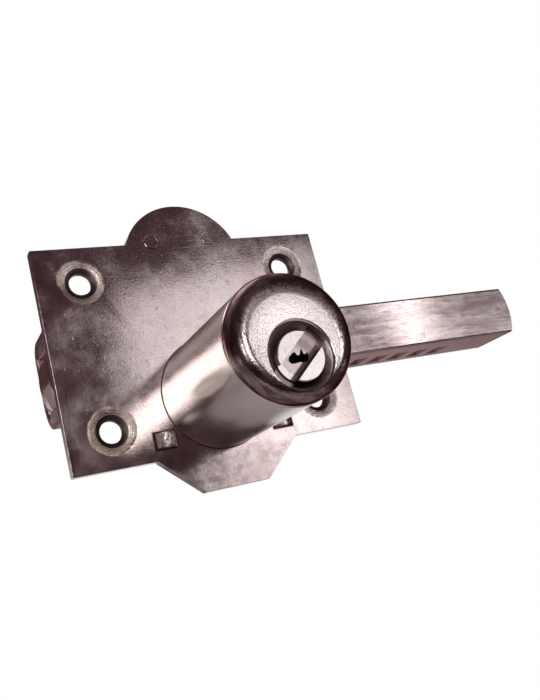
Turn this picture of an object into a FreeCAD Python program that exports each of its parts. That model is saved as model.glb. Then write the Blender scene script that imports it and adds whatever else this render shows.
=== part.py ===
import FreeCAD, Part
import math
import os

# Surface mounted deadbolt, millimetres.
# X runs along the bolt, Z is up, Y goes through the plate; the barrel stands out towards -Y.
# The origin is the centre of the four screw holes, on the plate's rear face.

V = FreeCAD.Vector

# Plate
PLATE_W = 90.0
PLATE_H = 64.0
PLATE_T = 3.0
PLATE_CORNER_R = 0.3
LOBE_R = 18.4
LOBE_Z = 25.3
TAB_TOP_HALF = 21.6
TAB_BOTTOM_HALF = 9.8
TAB_DEPTH = 10.8
SCREW_INSET_X = 12.7
SCREW_INSET_Z = 10.5
SCREW_BORE_R = 3.2
SCREW_STEP_R = 4.6
SCREW_RIM_R = 7.0
SCREW_RIM_DEPTH = 0.5
SCREW_CONE_DEPTH = 0.8

# Bolt and rack
BOLT_H = 16.8
BOLT_D = 20.0
BOLT_Z = -1.0
BOLT_FRONT_Y = 1.0
BOLT_OUT_X = 123.2
BOLT_TAIL_X = -43.9
BOLT_END_BULGE = 1.8
BOLT_EDGE_R = 0.8
TAIL_BEVEL_X = 4.5
TAIL_BEVEL_Y = 7.0
MODULE = 2.75
PINION_TEETH = 9
PRESSURE_DEG = 20.0
RACK_ADDENDUM = 0.875
PINION_TIP_R = 15.0
RACK_WIDTH = 8.0
RACK_CENTRE_Y = 13.0
RACK_FIRST = -1
RACK_LAST = 11
RACK_BOTTOM_GAP = 0.4
MESH_PLAY = 0.4
PINION_W = 6.8

# Barrel
BARREL_Z = -15.4
BARREL_R = 16.5
SLEEVE_LEN = 47.0
SLEEVE_INNER_R = 13.5
SLEEVE_RIM = 0.8
CAP_LEN = 5.5
CAP_ROUND = 4.2
CAP_DOME_R = 260.0
CAP_WEB = 4.0
CAP_SPIGOT_LEN = 6.0
CAP_SPIGOT_WALL = 1.3
CAP_RIM_CHAMFER = 0.5
CAP_REAR_CHAMFER = 0.4
BODY_R = 13.2
RECESS_R = 8.6
GUARD_FLANGE_R = 10.0
GUARD_FLANGE_T = 1.0
GUARD_DISH_DEPTH = 1.5
GUARD_BACK = 0.8
GUARD_SLOT_MORE = 0.6
PLUG_BACK = 0.4

# Plug and pins
PLUG_R = 6.2
PLUG_NOSE_R = 4.55
PLUG_FACE_T = 2.4
FACE_CHAMFER = 0.2
SLOT_W = 5.5
SLOT_DEPTH = 1.7
SLOT_DEG = 40.0
KEYWAY_STOP = 8.0
DRIVE_SLOT_DEPTH = 6.0
PIN_R = 1.45
PIN_BORE_R = 1.5
PIN_COUNT = 5
PIN_PITCH = 5.5
PIN_FIRST_Y = -44.0
KEY_PIN_LEN = 4.2
DRIVER_LEN = 4.0
SPRING_WIRE_R = 0.2
SPRING_TURNS = 4
COIL_STEPS = 12
WIRE_SIDES = 6
CHAMBER_PLUG_T = 1.4
CHAMBER_PLUG_TOP = -3.1
DRILL_PIN_R = 1.0
DRILL_PIN_LEN = 12.0
CLIP_R = 7.2
CLIP_T = 1.0
NECK_R = 5.0
DRIVE_BAR_W = 6.0
DRIVE_BAR_T = 2.5

# Case
SHEET = 1.5
CASE_HALF = 43.2
CASE_TOP = 12.0
CASE_LOW = -15.0
CASE_TOP_BEND_R = 5.5
CASE_LOW_BEND_R = 9.0
CASE_DEPTH_GAP = 0.9
HOUSING_GAP = 0.4
HOUSING_BEND_R = 6.5
TOWER_HALF = 8.0
TOWER_TOP = 24.5
TOWER_ROUND = 4.5
TOWER_BEND_R = 3.0
FLANGE_R = 16.0
FLANGE_Z = 23.0
RIVET_X = 9.3
RIVET_Z = 32.3
RIVET_R = 2.0
RIVET_HEAD_R = 3.2
RIVET_HEAD_T = 1.2
RIVET_CHAMFER = 0.6
LUG_X = 18.3
LUG_Z = -26.5
LUG_W = 6.2
LUG_H = 4.8
LUG_PROUD = 1.7
LUG_DOME_R = 5.4
LUG_EDGE_R = 0.5
FOOT_HALF_W = 5.2
FOOT_HALF_H = 4.0

# Shafts, pads and small parts
JOURNAL_R = 6.0
REAR_JOURNAL_R = 4.5
BUSH_R = 6.5
BUSH_FLANGE_R = 8.0
BUSH_FLANGE_T = 1.0
HUB_R = 7.4
PAD_HALF = 6.2
PAD_LEN_Y = 14.0
PAD_T = 4.0
PAD_LEAD = 1.0
PAD_SPRING_R = 3.2
PAD_SPRING_WIRE_R = 0.5
PAD_SPRING_TURNS = 4
STOP_INSET = 13.5
STOP_R = 2.5
STOP_HEAD_R = 3.6
GUIDE_LEN = 8.0
GUIDE_RECESS = 0.5
GUIDE_FIT = 0.05
BARREL_SCREW_X = 9.2
BARREL_SCREW_Z = -13.5
BARREL_SCREW_R = 2.0
BARREL_SCREW_HEAD_R = 3.9
BARREL_SCREW_LEN = 12.0
BARREL_SCREW_HEAD_T = 2.0

# Clearances
RUNNING = 0.05
EASY = 0.1
SKIN = 0.02

# Derived
FRONT_Y = -PLATE_T
PLATE_BOTTOM = -PLATE_H / 2
SCREW_X = PLATE_W / 2 - SCREW_INSET_X
SCREW_Z = PLATE_H / 2 - SCREW_INSET_Z
PITCH_R = MODULE * PINION_TEETH / 2
RACK_PITCH = math.pi * MODULE
BOLT_BOTTOM = BOLT_Z - BOLT_H / 2
BOLT_TOP = BOLT_Z + BOLT_H / 2
BOLT_BACK_Y = BOLT_FRONT_Y + BOLT_D
PITCH_LINE_Z = BOLT_BOTTOM + RACK_ADDENDUM
PLUG_Z = PITCH_LINE_Z - PITCH_R
THROW = RACK_PITCH * PINION_TEETH
SLEEVE_END = FRONT_Y - SLEEVE_LEN
CAP_FACE = SLEEVE_END - CAP_LEN
BODY_END = CAP_FACE + CAP_WEB
SPIGOT_IN = BODY_R + EASY
SPIGOT_OUT = SPIGOT_IN + CAP_SPIGOT_WALL
PLUG_FRONT = CAP_FACE + PLUG_BACK
NOSE_Y = PLUG_FRONT + SLOT_DEPTH
FACE_BACK = PLUG_FRONT + PLUG_FACE_T
PLUG_REAR = FRONT_Y - 2.2
CASE_IN_Y = BOLT_BACK_Y + CASE_DEPTH_GAP
CASE_OUT_Y = CASE_IN_Y + SHEET
HOUSING_R = PINION_TIP_R + HOUSING_GAP
STOP_X = -CASE_HALF + STOP_INSET


def cyl(x, z, r, y0, y1):
    return Part.makeCylinder(r, y1 - y0, V(x, y0, z), V(0, 1, 0))


def cone(x, z, r0, r1, y0, y1):
    return Part.makeCone(r0, r1, y1 - y0, V(x, y0, z), V(0, 1, 0))


def box(x0, x1, y0, y1, z0, z1):
    return Part.makeBox(x1 - x0, y1 - y0, z1 - z0, V(x0, y0, z0))


def prism(points, y0, y1):
    corners = [V(x, y0, z) for x, z in points]
    face = Part.Face(Part.makePolygon(corners + [corners[0]]))
    return face.extrude(V(0, y1 - y0, 0))


def ring(x, z, r_out, r_in, y0, y1):
    return cyl(x, z, r_out, y0, y1).cut(cyl(x, z, r_in, y0 - 1, y1 + 1))


def turned(x, z, profile):
    # profile is a closed list of (radius, y) corners, turned about the line through (x, z)
    pts = [V(x + r, y, z) for r, y in profile]
    face = Part.Face(Part.makePolygon(pts + [pts[0]]))
    return face.revolve(V(x, 0, z), V(0, 1, 0), 360)


def spring_up(x, y, z0, z1, r, wire_r, turns):
    # an open coil: a ruled loft through six-sided wire sections, a fixed number of them to a turn
    height = z1 - z0 - 2 * wire_r
    count = turns * COIL_STEPS
    sections = []
    for k in range(count + 1):
        a = 2 * math.pi * k / COIL_STEPS
        out = V(math.cos(a), math.sin(a), 0)
        middle = V(x, y, z0 + wire_r + height * k / count) + out * r
        corners = []
        for i in range(WIRE_SIDES):
            b = 2 * math.pi * i / WIRE_SIDES
            corners.append(middle + out * (wire_r * math.cos(b)) + V(0, 0, wire_r * math.sin(b)))
        sections.append(Part.makePolygon(corners + [corners[0]]))
    return Part.makeLoft(sections, True, True)


def screw_places():
    return [(sx * SCREW_X, sz * SCREW_Z) for sx in (-1, 1) for sz in (-1, 1)]


def rounded_edges(shape, pick, radius):
    edges = [e for e in shape.Edges if pick(e)]
    return shape.makeFillet(radius, edges)


def bent_edges(shape, pick, radius, inset):
    # a bend in sheet: round outside, and inside a flat that keeps the sheet's thickness
    if inset == 0:
        return rounded_edges(shape, pick, radius)
    flat = (radius - inset) * (2 - math.sqrt(2))
    return shape.makeChamfer(flat, [e for e in shape.Edges if pick(e)])


def mounting_plate():
    half = PLATE_W / 2
    outline = [
        (-half, PLATE_BOTTOM),
        (-TAB_TOP_HALF, PLATE_BOTTOM),
        (-TAB_BOTTOM_HALF, PLATE_BOTTOM - TAB_DEPTH),
        (TAB_BOTTOM_HALF, PLATE_BOTTOM - TAB_DEPTH),
        (TAB_TOP_HALF, PLATE_BOTTOM),
        (half, PLATE_BOTTOM),
        (half, PLATE_H / 2),
        (-half, PLATE_H / 2),
    ]
    plate = prism(outline, FRONT_Y, 0)
    plate = plate.fuse(cyl(0, LOBE_Z, LOBE_R, FRONT_Y, 0)).removeSplitter()
    plate = rounded_edges(plate, lambda e: abs(e.BoundBox.YLength - PLATE_T) < 1e-6
                          and e.BoundBox.XLength < 1e-6 and abs(abs(e.BoundBox.Center.x) - half) < 0.1,
                          PLATE_CORNER_R)
    for x, z in screw_places():
        step_y = FRONT_Y + SCREW_RIM_DEPTH
        cone_y = step_y + SCREW_CONE_DEPTH
        plate = plate.cut(cone(x, z, SCREW_RIM_R, SCREW_STEP_R, FRONT_Y, step_y))
        plate = plate.cut(cone(x, z, SCREW_STEP_R, SCREW_BORE_R, step_y, cone_y))
        plate = plate.cut(cyl(x, z, SCREW_BORE_R, FRONT_Y - 1, 1))
    plate = plate.cut(cyl(0, PLUG_Z, JOURNAL_R + RUNNING, FRONT_Y - 1, 1))
    for s in (-1, 1):
        w = LUG_W / 2 + EASY
        h = LUG_H / 2 + EASY
        plate = plate.cut(box(s * LUG_X - w, s * LUG_X + w, FRONT_Y - 1, 1, LUG_Z - h, LUG_Z + h))
        plate = plate.cut(cyl(s * RIVET_X, RIVET_Z, RIVET_R + EASY, FRONT_Y - 1, 1))
        bx = s * BARREL_SCREW_X
        plate = plate.cut(cyl(bx, BARREL_SCREW_Z, BARREL_SCREW_R + EASY, FRONT_Y - 1, 1))
        plate = plate.cut(cone(bx, BARREL_SCREW_Z, BARREL_SCREW_R + EASY,
                               BARREL_SCREW_HEAD_R + EASY, -BARREL_SCREW_HEAD_T, 0))
    return plate


def barrel_sleeve():
    spigot_bore = SPIGOT_OUT + EASY
    mouth = SLEEVE_END + CAP_SPIGOT_LEN + 0.3
    profile = [
        (SLEEVE_INNER_R, FRONT_Y),
        (BARREL_R - 0.3, FRONT_Y),
        (BARREL_R, FRONT_Y - 0.3),
        (BARREL_R, SLEEVE_END + SLEEVE_RIM),
        (BARREL_R - SLEEVE_RIM * 0.3, SLEEVE_END + SLEEVE_RIM * 0.3),
        (BARREL_R - SLEEVE_RIM, SLEEVE_END),
        (spigot_bore, SLEEVE_END),
        (spigot_bore, mouth),
        (SLEEVE_INNER_R, mouth),
    ]
    return turned(0, BARREL_Z, profile)


def barrel_cap():
    # half the section of the disc: a shallow dome that runs into the round, a side and a flat back
    round_x = BARREL_R - CAP_ROUND
    lean = math.asin(round_x / (CAP_DOME_R - CAP_ROUND))
    round_y = CAP_FACE + CAP_DOME_R - (CAP_DOME_R - CAP_ROUND) * math.cos(lean)
    back = SLEEVE_END - SKIN

    def on_dome(angle):
        return V(CAP_DOME_R * math.sin(angle), CAP_FACE + CAP_DOME_R * (1 - math.cos(angle)), BARREL_Z)

    def on_round(angle):
        return V(round_x + CAP_ROUND * math.sin(angle), round_y - CAP_ROUND * math.cos(angle), BARREL_Z)

    side = on_round(math.pi / 2)
    edges = [
        Part.Arc(on_dome(0), on_dome(lean / 2), on_dome(lean)).toShape(),
        Part.Arc(on_round(lean), on_round((lean + math.pi / 2) / 2), side).toShape(),
        Part.makePolygon([
            side,
            V(BARREL_R, back - CAP_REAR_CHAMFER, BARREL_Z),
            V(BARREL_R - CAP_REAR_CHAMFER, back, BARREL_Z),
            V(0, back, BARREL_Z),
            on_dome(0),
        ]),
    ]
    disc = Part.Face(Part.Wire(edges)).revolve(V(0, 0, BARREL_Z), V(0, 1, 0), 360)
    spigot = cyl(0, BARREL_Z, SPIGOT_OUT, SLEEVE_END - 1, SLEEVE_END + CAP_SPIGOT_LEN)
    cap = disc.fuse(spigot)
    cap = cap.cut(cyl(0, BARREL_Z, SPIGOT_IN, BODY_END - SKIN, SLEEVE_END + CAP_SPIGOT_LEN + 1))
    cap = cap.cut(cyl(0, PLUG_Z, RECESS_R, CAP_FACE - 1, BODY_END + 1))
    rim = cone(0, PLUG_Z, RECESS_R + CAP_RIM_CHAMFER, RECESS_R, CAP_FACE, CAP_FACE + CAP_RIM_CHAMFER)
    return cap.cut(rim)


def entry_slot(y0, y1, reach):
    bar = box(-reach, reach, y0, y1, -SLOT_W / 2, SLOT_W / 2)
    bar.rotate(V(0, 0, 0), V(0, 1, 0), -SLOT_DEG)
    bar.translate(V(0, 0, PLUG_Z))
    return bar


def guard_ring():
    inner = PLUG_R + EASY
    outer = RECESS_R - EASY
    front = CAP_FACE + GUARD_BACK
    profile = [
        (inner, front + GUARD_DISH_DEPTH + 0.5),
        (inner + 0.5, front + GUARD_DISH_DEPTH),
        (outer - 0.5, front + 0.2),
        (outer, front),
        (outer, BODY_END),
        (inner, BODY_END),
    ]
    guard = turned(0, PLUG_Z, profile)
    # the flange behind the cap's web stays inside the round body
    flange = ring(0, PLUG_Z, GUARD_FLANGE_R, inner, BODY_END - 0.5, BODY_END + GUARD_FLANGE_T)
    flange = flange.cut(cyl(0, PLUG_Z, 2 * BODY_R, BODY_END - 1, BODY_END + SKIN))
    flange = flange.common(cyl(0, BARREL_Z, BODY_R - EASY, BODY_END - 1, BODY_END + 2))
    lip = ring(0, PLUG_Z, outer, inner, BODY_END - 0.5, BODY_END + GUARD_FLANGE_T)
    lip = lip.common(cyl(0, BARREL_Z, BODY_R - EASY, BODY_END - 1, BODY_END + 2))
    guard = guard.fuse(lip).fuse(flange).removeSplitter()
    return guard.cut(entry_slot(CAP_FACE - 1, NOSE_Y + GUARD_SLOT_MORE, RECESS_R + 2))


def pin_ys():
    return [PIN_FIRST_Y + i * PIN_PITCH for i in range(PIN_COUNT)]


def pin_bore(z0, z1, y):
    return Part.makeCylinder(PIN_BORE_R, z1 - z0, V(0, y, z0), V(0, 0, 1))


def cylinder_body():
    body = Part.makeCylinder(BODY_R, FRONT_Y - BODY_END - SKIN, V(0, BODY_END, BARREL_Z), V(0, 1, 0))
    seat = cyl(0, PLUG_Z, GUARD_FLANGE_R + EASY, BODY_END - 1, BODY_END + GUARD_FLANGE_T + SKIN)
    body = body.cut(seat)
    body = body.cut(cyl(0, PLUG_Z, PLUG_R + RUNNING, BODY_END - 1, FRONT_Y + 1))
    body = body.cut(cyl(0, PLUG_Z, CLIP_R + 0.4, PLUG_REAR - 1.5, FRONT_Y + 1))
    for y in pin_ys():
        body = body.cut(pin_bore(PLUG_Z, BARREL_Z + BODY_R + 1, y))
    for s in (-1, 1):
        screw = cyl(s * BARREL_SCREW_X, BARREL_SCREW_Z, BARREL_SCREW_R + RUNNING,
                    -BARREL_SCREW_LEN - 0.6, FRONT_Y + 1)
        body = body.cut(screw)
        pin = cyl(s * (PLUG_R + 2.2), PLUG_Z + 2.0, DRILL_PIN_R + RUNNING,
                  BODY_END - 1, BODY_END + DRILL_PIN_LEN + 1.5)
        body = body.cut(pin)
    return body


def keyway(y0, y1):
    shape = [
        (-2.9, -0.5), (-2.6, 0.35), (-1.5, 1.2), (-0.95, 1.45), (-0.5, 1.3), (-0.25, 0.6),
        (0.35, 0.6), (0.65, 1.05), (0.95, 1.85), (1.35, 1.8), (1.5, 0.8), (2.0, 0.6),
        (2.45, 1.0), (2.75, 0.85), (2.75, -0.15), (2.2, -1.2), (0.7, -1.3), (0.0, -1.1),
        (-1.0, -1.3), (-2.3, -1.25),
    ]
    return prism([(x, PLUG_Z + z) for x, z in shape], y0, y1)


def plug():
    body = cyl(0, PLUG_Z, PLUG_R, FACE_BACK + SKIN, PLUG_REAR - CLIP_T - 0.3)
    body = body.fuse(cyl(0, PLUG_Z, PLUG_NOSE_R, NOSE_Y, FACE_BACK + 1))
    body = body.fuse(cyl(0, PLUG_Z, NECK_R, PLUG_REAR - CLIP_T - 1, PLUG_REAR + 1.6))
    groove = ring(0, PLUG_Z, NECK_R + 1, NECK_R - 0.8, PLUG_REAR - CLIP_T - 0.3, PLUG_REAR - 0.3)
    body = body.cut(groove)
    body = body.cut(keyway(NOSE_Y - 1, PLUG_REAR - KEYWAY_STOP))
    for y in pin_ys():
        body = body.cut(pin_bore(PLUG_Z + 0.4, PLUG_Z + PLUG_R + 1, y))
    w = DRIVE_BAR_W / 2 + RUNNING
    t = DRIVE_BAR_T / 2 + RUNNING
    slot = box(-w, w, PLUG_REAR - DRIVE_SLOT_DEPTH, PLUG_REAR + CLIP_T + 2, PLUG_Z - t, PLUG_Z + t)
    return body.cut(slot)


def plug_face():
    profile = [
        (0, PLUG_FRONT),
        (PLUG_R - FACE_CHAMFER, PLUG_FRONT),
        (PLUG_R, PLUG_FRONT + FACE_CHAMFER),
        (PLUG_R, FACE_BACK),
        (0, FACE_BACK),
    ]
    face = turned(0, PLUG_Z, profile)
    face = face.cut(cyl(0, PLUG_Z, PLUG_NOSE_R + RUNNING, NOSE_Y, FACE_BACK + 1))
    return face.cut(entry_slot(PLUG_FRONT - 1, NOSE_Y, PLUG_R + 2)).removeSplitter()


def key_pins():
    pins = []
    top = PLUG_Z + PLUG_R - 0.1
    for y in pin_ys():
        shank = Part.makeCylinder(PIN_R, KEY_PIN_LEN, V(0, y, top - KEY_PIN_LEN), V(0, 0, 1))
        tip = Part.makeCone(0.5, PIN_R, 0.8, V(0, y, top - KEY_PIN_LEN - 0.8), V(0, 0, 1))
        pins.append(shank.fuse(tip).removeSplitter())
    return Part.makeCompound(pins)


def driver_pins():
    base = PLUG_Z + PLUG_R + 0.15
    pins = [Part.makeCylinder(PIN_R, DRIVER_LEN, V(0, y, base), V(0, 0, 1)) for y in pin_ys()]
    return Part.makeCompound(pins)


def pin_springs():
    base = PLUG_Z + PLUG_R + 0.15 + DRIVER_LEN + 0.05
    top = CHAMBER_PLUG_TOP - CHAMBER_PLUG_T - 0.05
    springs = []
    for y in pin_ys():
        springs.append(spring_up(0, y, base, top, PIN_R - SPRING_WIRE_R - 0.05, SPRING_WIRE_R, SPRING_TURNS))
    return Part.makeCompound(springs)


def chamber_plugs():
    base = CHAMBER_PLUG_TOP - CHAMBER_PLUG_T
    plugs = [Part.makeCylinder(PIN_BORE_R, CHAMBER_PLUG_T, V(0, y, base), V(0, 0, 1)) for y in pin_ys()]
    return Part.makeCompound(plugs)


def anti_drill_pins():
    y0 = BODY_END + GUARD_FLANGE_T + 0.3
    pins = [cyl(s * (PLUG_R + 2.2), PLUG_Z + 2.0, DRILL_PIN_R, y0, y0 + DRILL_PIN_LEN - 1) for s in (-1, 1)]
    return Part.makeCompound(pins)


def plug_clip():
    y0 = PLUG_REAR - CLIP_T - 0.3 + SKIN
    clip = ring(0, PLUG_Z, CLIP_R, NECK_R - 0.75, y0, y0 + CLIP_T - 2 * SKIN)
    gap = box(-2.2, 2.2, y0 - 1, y0 + CLIP_T + 1, PLUG_Z - CLIP_R - 1, PLUG_Z - 2)
    return clip.cut(gap)


def drive_bar():
    w = DRIVE_BAR_W / 2
    t = DRIVE_BAR_T / 2
    return box(-w, w, PLUG_REAR - 5.5, CASE_IN_Y - 2.0, PLUG_Z - t, PLUG_Z + t)


def involute(base_r, r):
    a = math.acos(base_r / r)
    return math.tan(a) - a


def pinion():
    alpha = math.radians(PRESSURE_DEG)
    base_r = PITCH_R * math.cos(alpha)
    root_r = PITCH_R - RACK_ADDENDUM - RACK_BOTTOM_GAP
    half_pitch = (RACK_PITCH / 2 - MESH_PLAY / 2) / (2 * PITCH_R)
    radii = [base_r + (PINION_TIP_R - base_r) * k / 5.0 for k in range(6)]
    half = [half_pitch + math.tan(alpha) - alpha - involute(base_r, max(r, base_r + 1e-9)) for r in radii]
    y0 = RACK_CENTRE_Y - PINION_W / 2
    step = 2 * math.pi / PINION_TEETH

    def at(r, a):
        return V(r * math.sin(a), y0, PLUG_Z + r * math.cos(a))

    edges = []
    for n in range(PINION_TEETH):
        mid = n * step
        left = [at(r, mid - h) for r, h in zip(radii, half)]
        right = [at(r, mid + h) for r, h in zip(radii, half)]
        rise = Part.BSplineCurve()
        rise.interpolate(left)
        fall = Part.BSplineCurve()
        fall.interpolate(right[::-1])
        foot_l = at(root_r, mid - half[0])
        foot_r = at(root_r, mid + half[0])
        next_l = at(root_r, mid + step - half[0])
        edges.append(Part.LineSegment(foot_l, left[0]).toShape())
        edges.append(rise.toShape())
        edges.append(Part.Arc(left[-1], at(PINION_TIP_R, mid), right[-1]).toShape())
        edges.append(fall.toShape())
        edges.append(Part.LineSegment(right[0], foot_r).toShape())
        edges.append(Part.Arc(foot_r, at(root_r, mid + step / 2), next_l).toShape())
    gear = Part.Face(Part.Wire(edges)).extrude(V(0, PINION_W, 0))
    hub_back = CASE_IN_Y - BUSH_FLANGE_T - 0.2
    gear = gear.fuse(cyl(0, PLUG_Z, HUB_R, 0.3, hub_back))
    gear = gear.fuse(cyl(0, PLUG_Z, JOURNAL_R, -2.4, 0.5))
    gear = gear.fuse(cyl(0, PLUG_Z, REAR_JOURNAL_R, hub_back - 1, CASE_OUT_Y + 0.6))
    w = DRIVE_BAR_W / 2 + RUNNING
    t = DRIVE_BAR_T / 2 + RUNNING
    slot = box(-w, w, -4, CASE_IN_Y - 1.8, PLUG_Z - t, PLUG_Z + t)
    return gear.cut(slot).removeSplitter()


def bolt():
    # the end is a shallow arc seen from the front, the tail is the same arc the other way
    r = (BOLT_H ** 2 / 4 + BOLT_END_BULGE ** 2) / (2 * BOLT_END_BULGE)
    y0 = BOLT_FRONT_Y
    left = BOLT_TAIL_X + BOLT_END_BULGE
    right = BOLT_OUT_X - BOLT_END_BULGE
    corners = [V(left, y0, BOLT_BOTTOM), V(right, y0, BOLT_BOTTOM), V(right, y0, BOLT_TOP), V(left, y0, BOLT_TOP)]
    end = Part.Arc(corners[1], V(BOLT_OUT_X, y0, BOLT_Z), corners[2]).toShape()
    tail = Part.Arc(corners[3], V(BOLT_TAIL_X, y0, BOLT_Z), corners[0]).toShape()
    low = Part.LineSegment(corners[0], corners[1]).toShape()
    high = Part.LineSegment(corners[2], corners[3]).toShape()
    bar = Part.Face(Part.Wire([low, end, high, tail])).extrude(V(0, BOLT_D, 0))
    bar = rounded_edges(bar, lambda e: e.BoundBox.XLength > BOLT_OUT_X, BOLT_EDGE_R)
    bevel = Part.Face(Part.makePolygon([
        V(BOLT_TAIL_X - 1, y0 - 1, BOLT_BOTTOM - 1),
        V(BOLT_TAIL_X + TAIL_BEVEL_X + 0.6, y0 - 1, BOLT_BOTTOM - 1),
        V(BOLT_TAIL_X + TAIL_BEVEL_X, y0, BOLT_BOTTOM - 1),
        V(BOLT_TAIL_X - 1, y0 + TAIL_BEVEL_Y + 1.5, BOLT_BOTTOM - 1),
        V(BOLT_TAIL_X - 1, y0 - 1, BOLT_BOTTOM - 1),
    ])).extrude(V(0, 0, BOLT_H + 2))
    bar = bar.cut(bevel)
    slope = math.tan(math.radians(PRESSURE_DEG))
    deep = PINION_TIP_R - PITCH_R + RACK_BOTTOM_GAP
    wide = RACK_PITCH / 4 + MESH_PLAY / 4
    low_z = BOLT_BOTTOM - 1
    for k in range(RACK_FIRST, RACK_LAST + 1):
        x = k * RACK_PITCH
        low_half = wide + slope * (PITCH_LINE_Z - low_z)
        top_half = wide - slope * deep
        notch = prism([
            (x - low_half, low_z),
            (x + low_half, low_z),
            (x + top_half, PITCH_LINE_Z + deep),
            (x - top_half, PITCH_LINE_Z + deep),
        ], RACK_CENTRE_Y - RACK_WIDTH / 2, RACK_CENTRE_Y + RACK_WIDTH / 2)
        bar = bar.cut(notch)
    depth = 4.0
    half = STOP_R + 0.3
    groove = box(STOP_X, STOP_X + THROW, BOLT_BACK_Y - depth, BOLT_BACK_Y + 1, BOLT_Z - half, BOLT_Z + half)
    groove = groove.fuse(cyl(STOP_X, BOLT_Z, half, BOLT_BACK_Y - depth, BOLT_BACK_Y + 1))
    groove = groove.fuse(cyl(STOP_X + THROW, BOLT_Z, half, BOLT_BACK_Y - depth, BOLT_BACK_Y + 1))
    return bar.cut(groove)


def stop_pin():
    pin = cyl(STOP_X, BOLT_Z, STOP_R, BOLT_BACK_Y - 3.4, CASE_OUT_Y + 0.5)
    return pin.fuse(cyl(STOP_X, BOLT_Z, STOP_HEAD_R, CASE_OUT_Y + SKIN, CASE_OUT_Y + 0.9)).removeSplitter()


def tunnel_section(inset):
    # the long channel's section across X, its back corners bent on two radii
    high = CASE_TOP - inset
    low = CASE_LOW + inset
    back = CASE_OUT_Y - inset
    top_r = CASE_TOP_BEND_R - inset
    low_r = CASE_LOW_BEND_R - inset
    diagonal = 1 - math.sqrt(0.5)
    start = SKIN if inset == 0 else -1.0
    corners = [
        V(0, start, low),
        V(0, start, high),
        V(0, back - top_r, high),
        V(0, back, high - top_r),
        V(0, back, low + low_r),
        V(0, back - low_r, low),
    ]
    edges = [
        Part.LineSegment(corners[0], corners[1]).toShape(),
        Part.LineSegment(corners[1], corners[2]).toShape(),
        Part.Arc(corners[2], V(0, back - top_r * diagonal, high - top_r * diagonal), corners[3]).toShape(),
        Part.LineSegment(corners[3], corners[4]).toShape(),
        Part.Arc(corners[4], V(0, back - low_r * diagonal, low + low_r * diagonal), corners[5]).toShape(),
        Part.LineSegment(corners[5], corners[0]).toShape(),
    ]
    return Part.Face(Part.Wire(edges))


def along_bolt(section, x0, x1):
    bar = section.extrude(V(x1 - x0, 0, 0))
    bar.translate(V(x0, 0, 0))
    return bar


def drawn_cup(inset):
    # the round pocket over the pinion, its rim bent into the back
    start = SKIN if inset == 0 else -1.0
    cup = cyl(0, PLUG_Z, HOUSING_R + SHEET - inset, start, CASE_OUT_Y - inset)
    back = CASE_OUT_Y - inset
    return bent_edges(cup, lambda e: abs(e.BoundBox.Center.y - back) < 1e-6 and e.BoundBox.XLength > 1,
                      HOUSING_BEND_R, inset)


def tower(inset):
    # the pocket over the friction spring
    start = SKIN if inset == 0 else -1.0
    half = TOWER_HALF + SHEET - inset
    back = CASE_OUT_Y - inset
    block = box(-half, half, start, back, 0, TOWER_TOP - inset)
    block = rounded_edges(block, lambda e: e.BoundBox.YLength > 1 and e.BoundBox.Center.z > 1,
                          TOWER_ROUND - inset)
    return bent_edges(block, lambda e: abs(e.BoundBox.Center.y - back) < 1e-6 and e.BoundBox.YLength < 1e-6
                      and e.BoundBox.Center.z > 1, TOWER_BEND_R, inset)


def case_form(inset, reach):
    form = along_bolt(tunnel_section(inset), -reach, reach)
    return form.fuse([drawn_cup(inset), tower(inset)]).removeSplitter()


def lug(s):
    # a tenon staked through the plate, its front upset to a dome
    tip = FRONT_Y - LUG_PROUD
    block = box(s * LUG_X - LUG_W / 2, s * LUG_X + LUG_W / 2, tip - 1, SKIN + 0.5,
                LUG_Z - LUG_H / 2, LUG_Z + LUG_H / 2)
    dome = Part.makeCylinder(LUG_DOME_R, LUG_H + 2, V(s * LUG_X, tip + LUG_DOME_R, LUG_Z - LUG_H / 2 - 1))
    block = block.common(dome)
    return rounded_edges(block, lambda e: e.BoundBox.YMax < FRONT_Y, LUG_EDGE_R)


def case():
    shell = case_form(0, CASE_HALF)
    shell = shell.fuse(cyl(0, FLANGE_Z, FLANGE_R, SKIN, SHEET))
    for s in (-1, 1):
        foot = box(s * LUG_X - FOOT_HALF_W, s * LUG_X + FOOT_HALF_W, SKIN, SHEET,
                   LUG_Z - FOOT_HALF_H, LUG_Z + FOOT_HALF_H)
        link = box(min(0, s * LUG_X), max(0, s * LUG_X), SKIN, SHEET, LUG_Z - FOOT_HALF_H, LUG_Z + FOOT_HALF_H)
        shell = shell.fuse(foot).fuse(link)
    shell = shell.cut(case_form(SHEET, CASE_HALF + 2))
    for s in (-1, 1):
        shell = shell.fuse(lug(s))
        shell = shell.cut(cyl(s * RIVET_X, RIVET_Z, RIVET_R + EASY, -1, SHEET + 1))
    shell = shell.cut(cyl(0, PLUG_Z, BUSH_R + SKIN, CASE_IN_Y - 1, CASE_OUT_Y + 1))
    shell = shell.cut(cyl(STOP_X, BOLT_Z, STOP_R + EASY, CASE_IN_Y - 1, CASE_OUT_Y + 1))
    return shell.removeSplitter()


def case_rivets():
    top = SHEET + RIVET_HEAD_T
    profile = [
        (0, FRONT_Y),
        (RIVET_R, FRONT_Y),
        (RIVET_R, SHEET + SKIN),
        (RIVET_HEAD_R, SHEET + SKIN),
        (RIVET_HEAD_R, top - RIVET_CHAMFER),
        (RIVET_HEAD_R - RIVET_CHAMFER, top),
        (0, top),
    ]
    return Part.makeCompound([turned(s * RIVET_X, RIVET_Z, profile) for s in (-1, 1)])


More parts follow.
